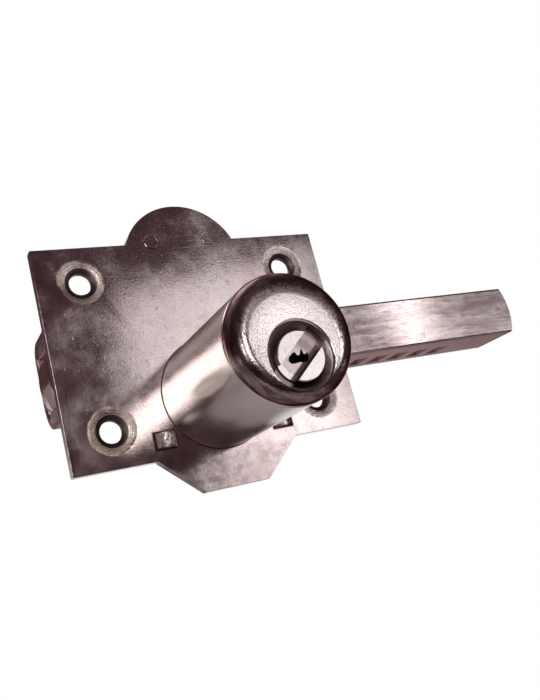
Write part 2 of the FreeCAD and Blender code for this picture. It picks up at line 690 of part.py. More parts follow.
def pinion_bush():
    bush = cyl(0, PLUG_Z, BUSH_R, CASE_IN_Y - SKIN, CASE_OUT_Y)
    bush = bush.fuse(cyl(0, PLUG_Z, BUSH_FLANGE_R, CASE_IN_Y - BUSH_FLANGE_T, CASE_IN_Y - SKIN))
    return bush.cut(cyl(0, PLUG_Z, REAR_JOURNAL_R + RUNNING, 0, CASE_OUT_Y + 1)).removeSplitter()


def friction_pad():
    y0 = BOLT_FRONT_Y + (BOLT_D - PAD_LEN_Y) / 2
    base = BOLT_TOP + EASY
    pad = box(-PAD_HALF, PAD_HALF, y0, y0 + PAD_LEN_Y, base, base + PAD_T)
    ends = [e for e in pad.Edges if e.BoundBox.ZLength < 1e-6 and abs(e.BoundBox.Center.z - base) < 1e-6
            and e.BoundBox.YLength > 1]
    pad = pad.makeChamfer(PAD_LEAD, ends)
    seat = Part.makeCylinder(PAD_SPRING_R + 1.0, 2, V(0, y0 + PAD_LEN_Y / 2, base + PAD_T - 1.2), V(0, 0, 1))
    return pad.cut(seat)


def friction_spring():
    y = BOLT_FRONT_Y + BOLT_D / 2
    base = BOLT_TOP + EASY + PAD_T - 1.2 + 0.05
    top = TOWER_TOP - SHEET - 0.05
    return spring_up(0, y, base, top, PAD_SPRING_R, PAD_SPRING_WIRE_R, PAD_SPRING_TURNS)


def bolt_guides():
    # a block at each end of the channel, with the bolt's opening through it
    section = tunnel_section(SHEET + GUIDE_FIT)
    x1 = CASE_HALF - GUIDE_RECESS
    x0 = x1 - GUIDE_LEN
    blocks = []
    for a, b in ((x0, x1), (-x1, -x0)):
        block = along_bolt(section, a, b).common(box(a - 1, b + 1, SKIN, CASE_OUT_Y, CASE_LOW, CASE_TOP))
        way = box(a - 1, b + 1, BOLT_FRONT_Y - EASY, BOLT_BACK_Y + EASY, BOLT_BOTTOM - EASY, BOLT_TOP + EASY)
        blocks.append(block.cut(way))
    return Part.makeCompound(blocks)


def barrel_screws():
    screws = []
    for s in (-1, 1):
        x = s * BARREL_SCREW_X
        shank = cyl(x, BARREL_SCREW_Z, BARREL_SCREW_R, -BARREL_SCREW_LEN, -BARREL_SCREW_HEAD_T + 0.2)
        head = cone(x, BARREL_SCREW_Z, BARREL_SCREW_R, BARREL_SCREW_HEAD_R, -BARREL_SCREW_HEAD_T, -SKIN)
        drive = cyl(x, BARREL_SCREW_Z, 1.25, -1.3, 1)
        screws.append(shank.fuse(head).cut(drive).removeSplitter())
    return Part.makeCompound(screws)


NODES = {
    "mounting_plate": mounting_plate,
    "case": case,
    "case_rivets": case_rivets,
    "stop_pin": stop_pin,
    "pinion_bush": pinion_bush,
    "bolt_guides": bolt_guides,
    "friction_pad": friction_pad,
    "friction_spring": friction_spring,
    "barrel_sleeve": barrel_sleeve,
    "barrel_cap": barrel_cap,
    "guard_ring": guard_ring,
    "cylinder_body": cylinder_body,
    "barrel_screws": barrel_screws,
    "anti_drill_pins": anti_drill_pins,
    "driver_pins": driver_pins,
    "pin_springs": pin_springs,
    "chamber_plugs": chamber_plugs,
    "plug": plug,
    "plug_face": plug_face,
    "key_pins": key_pins,
    "plug_clip": plug_clip,
    "drive_bar": drive_bar,
    "pinion": pinion,
    "bolt": bolt,
}

os.makedirs("parts", exist_ok=True)
for name, make in NODES.items():
    shape = make()
    bad = "" if shape.isValid() else "  NOT VALID"
    print(name, len(shape.Solids), round(shape.Volume, 1), bad)
    shape.exportStep("parts/" + name + ".step")
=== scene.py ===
"""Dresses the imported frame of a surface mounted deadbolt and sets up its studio."""

import math

import bpy
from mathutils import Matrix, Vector


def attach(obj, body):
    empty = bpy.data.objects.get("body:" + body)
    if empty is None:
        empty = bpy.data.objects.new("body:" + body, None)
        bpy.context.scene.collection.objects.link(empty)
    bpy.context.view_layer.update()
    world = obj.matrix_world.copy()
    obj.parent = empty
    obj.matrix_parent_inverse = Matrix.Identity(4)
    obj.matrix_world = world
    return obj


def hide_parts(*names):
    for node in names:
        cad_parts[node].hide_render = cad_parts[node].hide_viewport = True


bl_info = {
    "name": "Surface Mounted Deadbolt",
    "version": (1, 0, 0),
    "blender": (4, 5, 0),
    "location": "View3D > Sidebar > Deadbolt",
    "description": "Dresses the deadbolt's frame with finished metal and sets up its studio",
    "category": "Object",
}

# Lengths are in metres. A pair is where a mask starts and where it is full.

# where the frame's forms lie
SCREW_X = 0.0323
SCREW_Z = 0.0215
BARREL_Z = -0.0154
PLATE_FRONT_Y = -0.0030
PLUG_Z = -0.0209
SLOT_FLOOR_Y = -0.0534
SLOT_DEG = 40.0
LUG_X = 0.0183
LUG_Z = -0.0265
LUG_HALF_WIDTH = 0.0031
LUG_HALF_HEIGHT = 0.0024

# masks on the plate: the turned ring and the countersink's painted shade by distance from a screw
# hole, the painted shade where the barrel meets the plate, the tab's painted dark reflection of
# the barrel, and the painted shade round the lugs
RING_FADE = (0.0070, 0.0061)
RING_WOBBLE = 0.0006
RING_PHASE = 9500.0
SINK_EDGE_IN = 0.0045
SINK_EDGE_OUT = 0.0047
SEAM_FADE = (0.0168, 0.0166)
TAB_FADE = (-0.0310, -0.0345)
TAB_SLANT = (0.004, -0.014)
LUG_SHADE_FADE = (0.0006, 0.0003)

# masks on the bolt: its underside, painted darker as shade, and the rack's notches
BOLT_UNDER_FADE = (-0.0091, -0.0093)
RACK_FRONT_FADE = (0.0087, 0.0089)
RACK_BACK_FADE = (0.0173, 0.0171)
RACK_TOP_FADE = (-0.0030, -0.0034)

# the cap's worn crown, between its face and its round: centre, radii, how far the surface falls,
# the rim painted dark as a reflection and streaked with painted highlights, and the duller upper
# part
CROWN_X = -0.0008
CROWN_Z = -0.0171
CROWN_FADE = (0.0115, 0.0156)
CROWN_DROP = 0.0006
RIM_REFLECTION_FADE = (0.0122, 0.0142)
RIM_REFLECTION_RAGGED = 0.0009
DULL_RISE = 0.008
DULL_FADE = (0.0090, 0.0125)

# masks on the lugs for their painted highlight and painted shade, and on the key slot's floor
# across and along the slot for its painted shade
LUG_EDGE_SHADE_FADE = (-0.0005, -0.0001)
LUG_FLANK_SHADE_FADE = (LUG_X + 0.0003, LUG_X + 0.0012)
LUG_STRUCK_DEPTH = 0.0003
SLOT_FLOOR_FADE = (SLOT_FLOOR_Y - 0.0006, SLOT_FLOOR_Y - 0.0004)
SLOT_SIDE_FADE = (-0.0012, -0.0016)
SLOT_END_FADE = (0.0010, 0.0032)

# tones
PLATE_STAIN = (0.24, 0.18, 0.185)
PLATE_SMEAR = (0.22, 0.165, 0.17)
PLATE_HAZE = (0.80, 0.72, 0.71)
PLATE_PAINTED_GLINT = (0.74, 0.70, 0.68)
PLATE_SPECK = (0.15, 0.11, 0.11)
TAB_PAINTED_REFLECTION = (0.20, 0.145, 0.147)
SCRATCH_PALE = (0.74, 0.69, 0.67)
SCRATCH_DARK = (0.20, 0.15, 0.15)
RUBBED_DARK = (0.34, 0.27, 0.24)
RUBBED_PALE = (0.74, 0.66, 0.59)
RING_GROOVE = (0.16, 0.12, 0.115)
SINK_PAINTED_SHADE = (0.09, 0.062, 0.064)
SEAM_PAINTED_SHADE = (0.03, 0.02, 0.02)
LUG_PAINTED_SHADE = (0.10, 0.07, 0.07)
BOLT_STREAK = (0.66, 0.59, 0.58)
BOLT_SPECK = (0.18, 0.13, 0.13)
BOLT_UNDERSIDE_SHADE = (0.27, 0.18, 0.185)
BOLT_NOTCH = (0.42, 0.30, 0.30)
SLEEVE_SPECK = (0.36, 0.31, 0.30)
CAP_PIT = (0.30, 0.23, 0.23)
RIM_PAINTED_REFLECTION = (0.11, 0.072, 0.074)
RIM_PAINTED_HIGHLIGHT = (0.34, 0.255, 0.255)
LUG_DENT = (0.40, 0.34, 0.33)
LUG_PAINTED_HIGHLIGHT = (0.98, 0.95, 0.92)
LUG_FLANK_PAINTED_SHADE = (0.09, 0.055, 0.052)
LUG_EDGE_PAINTED_SHADE = (0.07, 0.045, 0.045)
SLOT_END_SHADE = (0.24, 0.17, 0.17)
SLOT_SIDE_SHADOW = (0.07, 0.048, 0.048)
FLOOR_TONES = ((0.76, 0.75, 0.75), (0.80, 0.79, 0.79))
BACKDROP_TONE = (0.8, 0.8, 0.8, 1)
DIM_AIR = (0.105, 0.060, 0.066, 1)
WHITE = (1.0, 1.0, 1.0, 1)

# tints that metals take on where they are seen almost edge on
BOLT_GRAZING = (0.90, 0.70, 0.71)
CAP_GRAZING = (0.32, 0.25, 0.26)
SHEET_GRAZING = (0.75, 0.55, 0.56)

# how a node's mesh is finished
MERGE_DISTANCE = 0.000002
FLAT_DEG = 0.4
SHARP_DEG = 28.0
BREAK_SEGMENTS = 2
EVEN_WEIGHT = 80

# the studio's backdrop, floor and air, whose pairs are parts of a direction
BACKDROP_Y = 0.60
FLOOR_SIZE = 6
FLOOR_FRONT = 0.25
FLOOR_WHITE_FADE = (1.2, 2.4)
FLOOR_SEEN_FADE = (0.35, 1.3)
AIR_BEHIND_FADE = (0.45, 0.70)
AIR_LOW_FADE = (0.20, 0.05)

# the camera as fitted to the photograph: its frame in pixels, the share of it that the backdrop
# fills, its sensor and lens in millimetres, and its turn in radians
FRAME_WIDTH = 540
FRAME_HEIGHT = 700
FRAME_SPARE = 1.06
CAMERA_SENSOR = 36.0
CAMERA_LENS = 41.8897
CAMERA_NEAR = 0.01
CAMERA_PLACE = (-0.094083, -0.214447, -0.059661)
CAMERA_TURN = (1.800809, 0.248202, -0.438814)

# watts per square metre of a lamp that a mirror shows as white
WHITE_LAMP_POWER = 4.0

# lamps: name, aim, degrees right of the front, degrees up, distance, size, brightness in metal
LOCK_AIM = Vector((0, -0.003, -0.005))
BOLT_AIM = Vector((0.078, 0.001, -0.001))
LAMPS = (
    ("key_low", LOCK_AIM, 30.0, 1.5, 0.80, (0.18, 0.21), 1.8),
    ("key_low_left", LOCK_AIM, 20.5, -1.0, 0.80, (0.07, 0.14), 0.7),
    ("key_high", LOCK_AIM, 26.0, 15.0, 0.80, (0.255, 0.16), 1.2),
    ("front_left", LOCK_AIM, -24.0, 8.0, 0.80, (0.28, 0.36), 4.6),
    ("front_top", LOCK_AIM, -7.0, 29.0, 0.80, (0.26, 0.16), 0.9),
    ("cap_flank", LOCK_AIM, -50.0, 4.0, 0.80, (0.17, 0.30), 3.0),
    ("cap_left", LOCK_AIM, -5.0, 4.0, 0.80, (0.13, 0.28), 1.1),
    ("cap_upper_left", LOCK_AIM, 10.0, 37.0, 0.80, (0.18, 0.09), 0.8),
    ("cap_right", LOCK_AIM, 55.0, 1.0, 0.80, (0.15, 0.20), 1.6),
    ("bolt_strip", BOLT_AIM, 38.7, 12.0, 0.40, (0.016, 0.17), 4.4),
    ("right_fill", BOLT_AIM, 41.0, 12.0, 0.85, (0.20, 0.30), 0.3),
    ("rear_top", LOCK_AIM, 180.0, 62.0, 1.30, (1.50, 1.10), 1.8),
)

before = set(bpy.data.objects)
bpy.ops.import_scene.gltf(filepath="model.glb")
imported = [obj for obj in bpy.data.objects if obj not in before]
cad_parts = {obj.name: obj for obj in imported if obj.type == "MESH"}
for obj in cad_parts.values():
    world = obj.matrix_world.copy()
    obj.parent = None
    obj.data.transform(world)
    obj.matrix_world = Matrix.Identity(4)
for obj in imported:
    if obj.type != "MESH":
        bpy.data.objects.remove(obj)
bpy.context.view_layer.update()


def colour(name, description, default):
    return bpy.props.FloatVectorProperty(
        name=name, description=description, subtype="COLOR", size=3, min=0, max=1, default=default)


class DeadboltSizes(bpy.types.PropertyGroup):
    """Sizes that a user would change, in metres."""

    edge_break: bpy.props.FloatProperty(
        name="Edge break",
        description="Width of the rounding on the sharp edges of the plate, the bolt and the case",
        default=0.00018, min=0.0, max=0.001, precision=5, unit="LENGTH")
    fine_break: bpy.props.FloatProperty(
        name="Fine edge break", description="Width of the rounding on turned and small parts",
        default=0.00010, min=0.0, max=0.0005, precision=5, unit="LENGTH")
    floor_drop: bpy.props.FloatProperty(
        name="Floor drop", description="How far the studio floor lies under the lock",
        default=0.42, min=0.05, max=2.0, unit="LENGTH")


class DeadboltColours(bpy.types.PropertyGroup):
    """Colours of the visible finishes."""

    plate_dark: colour("Plate, dark", "Darker tone of the smudged plate", (0.37, 0.295, 0.293))
    plate_light: colour("Plate, light", "Lighter tone of the smudged plate", (0.61, 0.545, 0.535))
    bolt_dark: colour("Bolt, dark", "Darker streaks of the brushed bolt", (0.38, 0.30, 0.295))
    bolt_light: colour("Bolt, light", "Lighter streaks of the brushed bolt", (0.60, 0.525, 0.52))
    sleeve: colour("Barrel sleeve", "Satin metal of the barrel", (0.68, 0.605, 0.570))
    cap: colour("Barrel cap", "Polished metal of the cap", (0.78, 0.71, 0.70))


class Board:
    """The node board of a material or of the world."""

    def __init__(self, owner, output="Material Output", place="Object"):
        owner.use_nodes = True
        self.owner = owner
        self.nodes = owner.node_tree.nodes
        self.links = owner.node_tree.links
        self.output = self.nodes[output]
        # a world has no such shader
        self.shader = self.nodes.get("Principled BSDF")
        self.place = self.nodes.new("ShaderNodeTexCoord").outputs[place]

    def put(self, value, socket):
        """Links or sets a socket; None leaves it as it is."""
        if isinstance(value, bpy.types.NodeSocket):
            self.links.new(value, socket)
        elif value is not None:
            socket.default_value = value

    def math(self, how, a, b=None):
        node = self.nodes.new("ShaderNodeMath")
        node.operation = how
        self.put(a, node.inputs[0])
        self.put(b, node.inputs[1])
        return node.outputs[0]

    def add(self, a, b):
        return self.math("ADD", a, b)

    def minus(self, a, b):
        return self.math("SUBTRACT", a, b)

    def times(self, a, b):
        return self.math("MULTIPLY", a, b)

    def length(self, a, b):
        """Length of the two sides' diagonal."""
        return self.math("SQRT", self.add(self.times(a, a), self.times(b, b)))

    def mapping(self, scale=(1, 1, 1), turn=(0, 0, 0)):
        node = self.nodes.new("ShaderNodeMapping")
        self.links.new(self.place, node.inputs["Vector"])
        node.inputs["Scale"].default_value = scale
        node.inputs["Rotation"].default_value = turn
        return node.outputs[0]

    def noise(self, vector, scale, detail, rough, bend=0.0):
        node = self.nodes.new("ShaderNodeTexNoise")
        self.links.new(vector, node.inputs["Vector"])
        node.inputs["Scale"].default_value = scale
        node.inputs["Detail"].default_value = detail
        node.inputs["Roughness"].default_value = rough
        node.inputs["Distortion"].default_value = bend
        return node.outputs[0]

    def span(self, value, a, b, c=0.0, d=1.0, ease=False):
        """Maps a..b to c..d and stops at both ends; ease makes both ends gentle."""
        node = self.nodes.new("ShaderNodeMapRange")
        node.interpolation_type = "SMOOTHSTEP" if ease else "LINEAR"
        self.put(value, node.inputs["Value"])
        for key, v in zip(("From Min", "From Max", "To Min", "To Max"), (a, b, c, d)):
            self.put(v, node.inputs[key])
        return node.outputs[0]

    def blend(self, factor, a, b):
        """Mixes two colours; the sockets 6, 7 and 2 are the node's colour ones."""
        node = self.nodes.new("ShaderNodeMix")
        node.data_type = "RGBA"
        self.put(factor, node.inputs[0])
        for value, socket in ((a, node.inputs[6]), (b, node.inputs[7])):
            if isinstance(value, bpy.types.NodeSocket):
                self.links.new(value, socket)
            else:
                socket.default_value = (*value[:3], 1.0)
        return node.outputs[2]

    def split(self):
        node = self.nodes.new("ShaderNodeSeparateXYZ")
        self.links.new(self.place, node.inputs[0])
        return node.outputs

    def bump(self, height, strength, distance=0.0002, under=None):
        node = self.nodes.new("ShaderNodeBump")
        self.put(height, node.inputs["Height"])
        node.inputs["Strength"].default_value = strength
        node.inputs["Distance"].default_value = distance
        if under is not None:
            self.links.new(under, node.inputs["Normal"])
        return node.outputs[0]

    def metal(self, tone, rough, normal=None, metallic=1.0, grazing=None):
        """grazing tints what the metal shows where it is seen almost edge on."""
        self.put(metallic, self.shader.inputs["Metallic"])
        self.put(tone, self.shader.inputs["Base Color"])
        self.put(rough, self.shader.inputs["Roughness"])
        if grazing is not None:
            self.shader.inputs["Specular Tint"].default_value = (*grazing, 1.0)
        if normal is not None:
            self.links.new(normal, self.shader.inputs["Normal"])
        return self.owner

    def shown(self):
        """1 where this is seen directly or in metal or glass, 0 for all other light."""
        path = self.nodes.new("ShaderNodeLightPath")
        total = path.outputs["Is Camera Ray"]
        for kind in ("Is Glossy Ray", "Is Transmission Ray"):
            total = self.math("MAXIMUM", total, path.outputs[kind])
        return total

    def seen(self):
        """1 where this is seen directly, 0 for all other light."""
        return self.nodes.new("ShaderNodeLightPath").outputs["Is Camera Ray"]

    def finish_mix(self, share, under, over):
        """Ends the board in a mix: over takes share of it, and under the rest."""
        mix = self.nodes.new("ShaderNodeMixShader")
        self.links.new(share, mix.inputs[0])
        self.links.new(under.outputs[0], mix.inputs[1])
        self.links.new(over.outputs[0], mix.inputs[2])
        self.links.new(mix.outputs[0], self.output.inputs["Surface"])
        return self.owner


def material_board(name):
    return Board(bpy.data.materials.new(name))


def scaled(tone, share):
    return tuple(share * v for v in tone)


def scratches(b, turn, across, width=0.62):
    """Sparse thin lines: a stretched noise kept only at its crests."""
    lines = b.noise(b.mapping(scale=(22, 22, across), turn=turn), 1.0, 3.0, 0.55)
    return b.span(lines, width, width + 0.05)


def near_screw_hole(b):
    """Distance from the nearest screw hole's centre, in the plate's plane."""
    x, _, z = b.split()
    dx = b.minus(b.math("ABSOLUTE", x), SCREW_X)
    dz = b.minus(b.math("ABSOLUTE", z), SCREW_Z)
    return b.length(dx, dz)


def off_lug(b):
    """Distance outside the outline of the nearer staked lug, negative on the lug itself."""
    x, _, z = b.split()
    dx = b.math("ABSOLUTE", b.minus(b.math("ABSOLUTE", x), LUG_X))
    dz = b.math("ABSOLUTE", b.minus(z, LUG_Z))
    return b.math("MAXIMUM", b.minus(dx, LUG_HALF_WIDTH), b.minus(dz, LUG_HALF_HEIGHT))


def from_line(b, centre_x, centre_z):
    """Distance from a line that runs front to back, such as the barrel's centre line."""
    x, _, z = b.split()
    return b.length(b.minus(x, centre_x), b.minus(z, centre_z))


def polished_plate(colours, name="plate_polished_steel"):
    """Polished steel with smudges, dusty specks, painted glints, scratches, and turned rings round
    the screw holes.
    """
    b = material_board(name)
    cloud = b.noise(b.mapping(), 26.0, 4.0, 0.5, 0.4)
    patch = b.noise(b.mapping(), 110.0, 6.0, 0.62)
    smear = b.noise(b.mapping(), 420.0, 5.0, 0.65)
    dust_and_glint = b.noise(b.mapping(), 2200.0, 2.0, 0.6)
    nicks = b.noise(b.mapping(scale=(1100, 1100, 420), turn=(0, 0.6, 0)), 1.0, 1.0, 0.5)
    fine = scratches(b, (0, 0.35, 0), 1500)
    cross = scratches(b, (0, -0.9, 0), 1700, 0.66)
    steep = scratches(b, (0, 1.35, 0), 1900, 0.67)

    away = near_screw_hole(b)
    wobble = b.add(away, b.span(patch, 0.3, 0.7, -RING_WOBBLE, RING_WOBBLE))
    ring = b.times(b.span(wobble, *RING_FADE), b.span(away, SINK_EDGE_IN, SINK_EDGE_OUT))
    sink_shade = b.span(away, SINK_EDGE_OUT, SINK_EDGE_IN)
    turned = b.math("SINE", b.times(wobble, RING_PHASE))
    seam_shade = b.span(from_line(b, 0.0, BARREL_Z), *SEAM_FADE)
    x, _, z = b.split()
    # the tab is painted darker towards the bottom and the left as a dark reflection of the barrel,
    # mottled by smears
    tab_reflection = b.times(b.span(z, *TAB_FADE, 0.0, 0.8), b.span(smear, 0.38, 0.60, 0.45, 1.0))
    tab_reflection = b.times(tab_reflection, b.span(x, *TAB_SLANT, 0.8, 1.2))

    tone = b.blend(b.span(cloud, 0.36, 0.64), colours.plate_dark, colours.plate_light)
    tone = b.blend(b.span(patch, 0.5, 0.8, 0.0, 0.55), tone, PLATE_STAIN)
    tone = b.blend(b.span(smear, 0.52, 0.72, 0.0, 0.4), tone, PLATE_SMEAR)
    tone = b.blend(b.span(patch, 0.46, 0.30, 0.0, 0.5), tone, PLATE_HAZE)
    # pale specks painted as glints
    tone = b.blend(b.span(dust_and_glint, 0.62, 0.76, 0.0, 0.45), tone, PLATE_PAINTED_GLINT)
    tone = b.blend(b.span(dust_and_glint, 0.40, 0.28, 0.0, 0.45), tone, PLATE_SPECK)
    tone = b.blend(tab_reflection, tone, TAB_PAINTED_REFLECTION)
    tone = b.blend(b.times(fine, 0.2), tone, SCRATCH_PALE)
    tone = b.blend(b.times(b.add(cross, steep), 0.25), tone, SCRATCH_DARK)
    rubbed = b.blend(b.span(dust_and_glint, 0.35, 0.65), RUBBED_DARK, RUBBED_PALE)
    rubbed = b.blend(b.span(turned, -1.0, 0.2, 0.55, 0.0), rubbed, RING_GROOVE)
    tone = b.blend(ring, tone, rubbed)
    # painted shade in each countersink
    tone = b.blend(sink_shade, tone, SINK_PAINTED_SHADE)
    # painted shade in a thin ring where the barrel meets the plate
    tone = b.blend(seam_shade, tone, SEAM_PAINTED_SHADE)
    # painted shade in a thin ring round each lug
    tone = b.blend(b.span(off_lug(b), *LUG_SHADE_FADE, 0.0, 0.7), tone, LUG_PAINTED_SHADE)

    rough = b.add(b.span(patch, 0.55, 0.32, 0.09, 0.20), b.span(cloud, 0.4, 0.65, 0.0, 0.05))
    rough = b.add(rough, b.times(ring, 0.22))
    rough = b.add(rough, b.times(b.add(sink_shade, seam_shade), 0.3))

    height = b.add(b.times(smear, 0.25), b.times(dust_and_glint, 0.75))
    height = b.minus(height, b.times(b.add(fine, cross), 0.15))
    height = b.add(height, b.times(b.times(ring, turned), 0.8))
    height = b.add(height, b.span(nicks, 0.74, 0.80, 0.0, 3.0))
    return b.metal(tone, rough, b.bump(height, 0.06))


def brushed_bolt(colours):
    """Steel brushed lengthwise, with a duller underside painted darker as shade, and dull rack
    notches.
    """
    b = material_board("bolt_brushed_steel")
    streak = b.noise(b.mapping(scale=(60, 1500, 1500)), 1.0, 5.0, 0.6)
    broad = b.noise(b.mapping(scale=(70, 330, 330)), 1.0, 5.0, 0.65, 0.3)
    speck = b.noise(b.mapping(scale=(300, 1100, 1100)), 1.0, 3.0, 0.5)

    _, y, z = b.split()
    under = b.span(z, *BOLT_UNDER_FADE)
    inside = b.times(b.span(y, *RACK_FRONT_FADE), b.span(y, *RACK_BACK_FADE))
    notch = b.times(b.times(inside, b.span(z, *RACK_TOP_FADE)), b.minus(1.0, under))

    tone = b.blend(b.span(broad, 0.35, 0.65), colours.bolt_dark, colours.bolt_light)
    tone = b.blend(b.span(streak, 0.45, 0.72, 0.0, 0.5), tone, BOLT_STREAK)
    tone = b.blend(b.span(speck, 0.55, 0.70, 0.0, 0.5), tone, BOLT_SPECK)
    # the underside is painted darker as shade
    tone = b.blend(b.times(under, 0.85), tone, BOLT_UNDERSIDE_SHADE)
    tone = b.blend(notch, tone, BOLT_NOTCH)

    rough = b.add(b.span(broad, 0.3, 0.7, 0.12, 0.20), b.times(under, 0.25))
    rough = b.add(rough, b.times(notch, 0.4))
    metallic = b.minus(1.0, b.times(notch, 0.7))
    height = b.add(b.times(streak, 0.75), b.times(broad, 0.25))
    return b.metal(tone, rough, b.bump(height, 0.12), metallic, BOLT_GRAZING)


def satin_sleeve(colours):
    """Satin nickel with fine lines round the barrel."""
    b = material_board("sleeve_satin_nickel")
    cloud = b.noise(b.mapping(), 60.0, 5.0, 0.55)
    around = b.noise(b.mapping(scale=(60, 3200, 60)), 1.0, 3.0, 0.5)
    speck = b.noise(b.mapping(), 1500.0, 3.0, 0.6)
    tone = b.blend(b.span(cloud, 0.35, 0.65), scaled(colours.sleeve, 0.80), colours.sleeve)
    tone = b.blend(b.span(speck, 0.62, 0.75, 0.0, 0.4), tone, SLEEVE_SPECK)
    rough = b.span(cloud, 0.35, 0.65, 0.20, 0.28)
    height = b.add(b.times(around, 0.4), b.times(speck, 0.6))
    return b.metal(tone, rough, b.bump(height, 0.06))


def polished_cap(colours):
    """Bright pitted face that falls away over a rubbed-down crown to a rim painted dark as a
    reflection, streaked with painted highlights.
    """
    b = material_board("cap_polished_steel")
    waves = b.noise(b.mapping(scale=(420, 420, 1500)), 1.0, 4.0, 0.6, 0.5)
    cloud = b.noise(b.mapping(), 110.0, 6.0, 0.6)
    pits = b.noise(b.mapping(), 2400.0, 2.0, 0.6)
    highlight_streaks = b.noise(b.mapping(scale=(170, 900, 170)), 1.0, 4.0, 0.6, 0.3)

    reach = from_line(b, CROWN_X, CROWN_Z)
    rim = b.math("MAXIMUM", reach, from_line(b, 0.0, BARREL_Z))
    ragged_rim = b.add(rim, b.span(pits, 0.3, 0.7, -RIM_REFLECTION_RAGGED, RIM_REFLECTION_RAGGED))

    tone = b.blend(b.span(cloud, 0.3, 0.7), scaled(colours.cap, 0.92), colours.cap)
    tone = b.blend(b.span(pits, 0.52, 0.66, 0.0, 0.5), tone, CAP_PIT)
    # the rim is painted dark as a reflection of dark surroundings, with streaks of painted
    # highlight
    rim_reflection = b.blend(b.span(highlight_streaks, 0.44, 0.66), RIM_PAINTED_REFLECTION, RIM_PAINTED_HIGHLIGHT)
    tone = b.blend(b.span(ragged_rim, *RIM_REFLECTION_FADE), tone, rim_reflection)

    z = b.split()[2]
    upper = b.span(z, CROWN_Z, CROWN_Z + DULL_RISE)
    dull = b.times(upper, b.span(reach, *DULL_FADE, 0.0, 0.16))
    rough = b.add(b.span(cloud, 0.3, 0.7, 0.12, 0.20), dull)

    crown = b.bump(b.span(reach, *CROWN_FADE, 0.0, -CROWN_DROP, ease=True), 1.0, 1.0)
    height = b.add(b.times(waves, 0.5), b.times(pits, 0.5))
    return b.metal(tone, rough, b.bump(height, 0.30, under=crown), grazing=CAP_GRAZING)


def plain_metal(name, dark, light, rough, scale=90.0, shade=None, grazing=None, peened_with_painted_light=False):
    """A steel or brass with clouded tone, fine grain and uneven gloss.

    shade adds marks to the tone. With peened, what stands out of the plate, the staked lugs, is
    dented, and takes a painted highlight on its face and painted shade on its outer flank and
    edge.
    """
    b = material_board(name)
    cloud = b.noise(b.mapping(), scale, 6.0, 0.6)
    grain = b.noise(b.mapping(), 700.0, 4.0, 0.6)
    tone = b.blend(b.span(cloud, 0.3, 0.7), dark, light)
    tone = b.blend(b.span(grain, 0.5, 0.75, 0.0, 0.4), tone, scaled(dark, 0.6))
    if shade is not None:
        tone = shade(b, tone)
    gloss = b.span(cloud, 0.3, 0.7, *rough)
    normal = b.bump(grain, 0.08)
    if peened_with_painted_light:
        x, y, _ = b.split()
        blows = b.noise(b.mapping(), 900.0, 2.0, 0.6, 0.5)
        struck = b.span(y, PLATE_FRONT_Y, PLATE_FRONT_Y - LUG_STRUCK_DEPTH)
        # the lug's face is a painted highlight mottled by the dents; its outer flank and its edge
        # take painted shade
        face = b.blend(b.span(blows, 0.38, 0.56), LUG_DENT, LUG_PAINTED_HIGHLIGHT)
        flank_shade = b.span(b.math("ABSOLUTE", x), *LUG_FLANK_SHADE_FADE, 0.0, 0.95)
        face = b.blend(flank_shade, face, LUG_FLANK_PAINTED_SHADE)
        face = b.blend(b.span(off_lug(b), *LUG_EDGE_SHADE_FADE, 0.0, 0.85), face, LUG_EDGE_PAINTED_SHADE)
        tone = b.blend(struck, tone, face)
        normal = b.bump(b.times(blows, struck), 0.7, 0.0006, normal)
    return b.metal(tone, gloss, normal, grazing=grazing)


def keyway_painted_shade(b, tone):
    """Paints shade on the key slot's floor: a painted shadow along its lower side and painted
    shade out of its upper end.
    """
    x, y, z = b.split()
    z = b.minus(z, PLUG_Z)
    sine, cosine = math.sin(math.radians(SLOT_DEG)), math.cos(math.radians(SLOT_DEG))
    across = b.minus(b.times(z, cosine), b.times(x, sine))
    along = b.add(b.times(x, cosine), b.times(z, sine))
    floor = b.span(y, *SLOT_FLOOR_FADE)
    side = b.times(floor, b.span(across, *SLOT_SIDE_FADE))
    end = b.times(floor, b.span(along, *SLOT_END_FADE, 0.0, 0.8))
    # painted shade out of the slot's upper end, and a painted shadow along its lower side
    tone = b.blend(end, tone, SLOT_END_SHADE)
    return b.blend(side, tone, SLOT_SIDE_SHADOW)


def moulded_plastic(name, tone):
    b = material_board(name)
    cloud = b.noise(b.mapping(), 300.0, 4.0, 0.6)
    mottled = b.blend(b.span(cloud, 0.3, 0.7), scaled(tone, 0.9), tone)
    gloss = b.span(cloud, 0.3, 0.7, 0.45, 0.6)
    return b.metal(mottled, gloss, b.bump(cloud, 0.05), metallic=0.0)


def deselect():
    if bpy.context.object and bpy.context.object.mode != "OBJECT":
        bpy.ops.object.mode_set(mode="OBJECT")
    bpy.ops.object.select_all(action="DESELECT")


